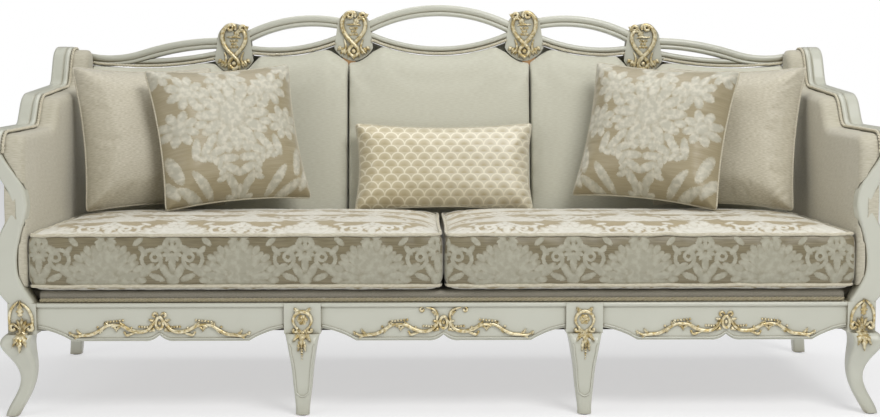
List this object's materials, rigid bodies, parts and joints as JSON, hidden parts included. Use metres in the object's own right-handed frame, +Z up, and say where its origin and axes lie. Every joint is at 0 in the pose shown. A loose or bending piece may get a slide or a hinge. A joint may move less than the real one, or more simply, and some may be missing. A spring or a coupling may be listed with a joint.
{
  "type": "carved sofa",
  "caption": "Carved and painted sofa with a pierced crest, gilt cartouches, loose seat cushions and scatter pillows.",
  "frame": {"origin": "on the floor, below the middle of the sofa's bounding box", "axes": "+X along the sofa to the right as seen from in front, +Y towards its back, +Z up"},
  "size_m": [2.4, 0.92, 1.121],
  "materials": {
    "painted_wood": "satin",
    "gilt": "satin",
    "beech": "satin",
    "seat_damask": "satin",
    "plain_cotton": "matte",
    "pillow_damask": "satin",
    "lumbar_satin": "satin",
    "back_fabric": "matte",
    "arm_fabric": "matte",
    "trim_cord": "matte",
    "deck_cloth": "matte",
    "steel": "satin",
    "glide_nylon": "matte"
  },
  "bodies": {
    "root": {"apron_carving_centre": "gilt", "apron_carving_left": "gilt", "apron_carving_right": "gilt", "arm_gimp_left": "trim_cord", "arm_gimp_right": "trim_cord", "arm_pad_left": "arm_fabric", "arm_pad_right": "arm_fabric", "arm_rail_left": "painted_wood", "arm_rail_right": "painted_wood", "arm_tack_rail_left": "beech", "arm_tack_rail_right": "beech", "back_bottom_rail": "beech", "back_gimp": "trim_cord", "back_pad_centre": "back_fabric", "back_pad_left": "back_fabric", "back_pad_right": "back_fabric", "back_post_left": "painted_wood", "back_post_right": "painted_wood", "back_seat_rail": "beech", "back_stiles": "beech", "cartouche_left_inner": "gilt", "cartouche_left_outer": "gilt", "cartouche_right_inner": "gilt", "cartouche_right_outer": "gilt", "corner_blocks": "beech", "crest_blocks": "painted_wood", "crest_lower_rail": "painted_wood", "crest_upper_centre": "painted_wood", "crest_upper_left": "painted_wood", "crest_upper_right": "painted_wood", "deck_pad": "deck_cloth", "dust_cover": "deck_cloth", "foot_glides": "glide_nylon", "frame_bolts": "steel", "front_apron_centre": "painted_wood", "front_apron_left": "painted_wood", "front_apron_right": "painted_wood", "front_leg_left": "painted_wood", "front_leg_right": "painted_wood", "front_post_left": "painted_wood", "front_post_right": "painted_wood", "knee_carvings": "gilt", "leg_rosettes": "gilt", "outside_arm_panel_left": "arm_fabric", "outside_arm_panel_right": "arm_fabric", "outside_back_panel": "back_fabric", "rope_trim": "trim_cord", "seat_cross_braces": "beech", "seat_springs": "steel", "side_seat_rail_left": "beech", "side_seat_rail_right": "beech", "spring_rail": "beech"},
    "seat_cushion_left": {"seat_cushion_left": "seat_damask"},
    "seat_cushion_right": {"seat_cushion_right": "seat_damask"},
    "pillow_plain_left": {"pillow_plain_left": "plain_cotton"},
    "pillow_plain_right": {"pillow_plain_right": "plain_cotton"},
    "pillow_damask_left": {"pillow_damask_left": "pillow_damask"},
    "pillow_damask_right": {"pillow_damask_right": "pillow_damask"},
    "pillow_lumbar": {"pillow_lumbar": "lumbar_satin"}
  },
  "joints": [
    {"name": "seat_cushion_left_pull", "type": "slide", "parent": "root", "child": "seat_cushion_left", "axis": [0, -1, 0], "range_m": [0, 0.68]},
    {"name": "seat_cushion_right_pull", "type": "slide", "parent": "root", "child": "seat_cushion_right", "axis": [0, -1, 0], "range_m": [0, 0.68]},
    {"name": "damask_pillow_left_lift", "type": "slide", "parent": "root", "child": "pillow_damask_left", "axis": [0, -0.342, 0.9397], "range_m": [0, 0.6]},
    {"name": "damask_pillow_right_lift", "type": "slide", "parent": "root", "child": "pillow_damask_right", "axis": [0, -0.342, 0.9397], "range_m": [0, 0.6]},
    {"name": "plain_pillow_left_lift", "type": "slide", "parent": "root", "child": "pillow_plain_left", "axis": [0, 0.1788, 0.9839], "range_m": [0, 0.6]},
    {"name": "plain_pillow_right_lift", "type": "slide", "parent": "root", "child": "pillow_plain_right", "axis": [0, 0.1788, 0.9839], "range_m": [0, 0.6]},
    {"name": "lumbar_pillow_lift", "type": "slide", "parent": "root", "child": "pillow_lumbar", "axis": [0, 0.1788, 0.9839], "range_m": [0, 0.6]}
  ],
  "couplings": [
    {"joint": "plain_pillow_left_lift", "follows": "damask_pillow_left_lift", "ratio": 1},
    {"joint": "plain_pillow_right_lift", "follows": "damask_pillow_right_lift", "ratio": 1}
  ]
}
